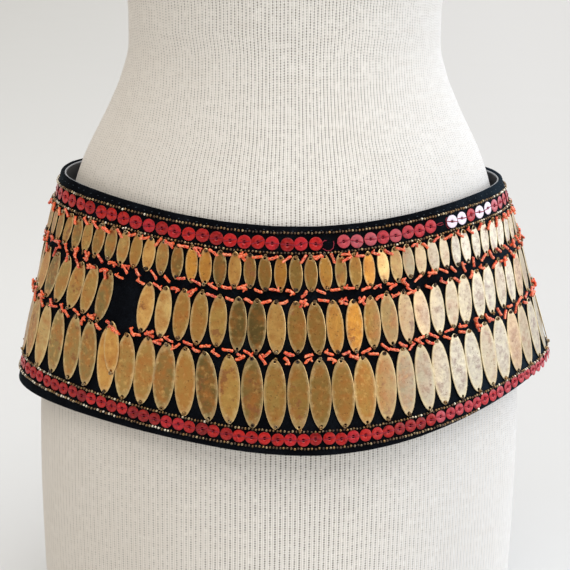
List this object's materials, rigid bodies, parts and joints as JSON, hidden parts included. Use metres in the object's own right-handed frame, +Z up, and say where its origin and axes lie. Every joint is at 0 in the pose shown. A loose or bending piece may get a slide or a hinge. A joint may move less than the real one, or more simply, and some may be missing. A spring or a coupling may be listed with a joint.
{
  "type": "beaded hip belt on a limbless dress form",
  "caption": "Wide shaped velvet hip belt with rows of oval brass paillettes, worn by a plain limbless dress form that stands on its flat underside.",
  "frame": {"origin": "middle of the flat underside of the dress form, under its neck", "axes": "+Z up, the front of the belt faces -Y, +X is to the right for someone who looks at the front"},
  "size_m": [0.3927, 0.2674, 0.872],
  "materials": {
    "velvet": "blue-black cotton velvet over buckram",
    "satin": "black satin lining",
    "piping": "dark grey satin piping",
    "brass": "aged hand cut sheet brass",
    "hook": "nickel plated",
    "jersey": "ecru rib jersey",
    "sequin": "flat coral red sequins",
    "seed_bead": "antique gold seed beads",
    "coral": "polished coral branch",
    "thread": "dark red sewing thread"
  },
  "bodies": {
    "root": {"dress_form": "jersey", "velvet_panel": "velvet", "lining": "satin", "top_piping": "piping", "underlap": "velvet", "hook_1": "hook", "hook_2": "hook", "hook_3": "hook", "hook_4": "hook", "brass_row_1": "brass", "brass_row_2_left": "brass", "brass_row_2_right": "brass", "brass_row_3": "brass", "brass_oval_fallen": "brass"}
  },
  "joints": []
}
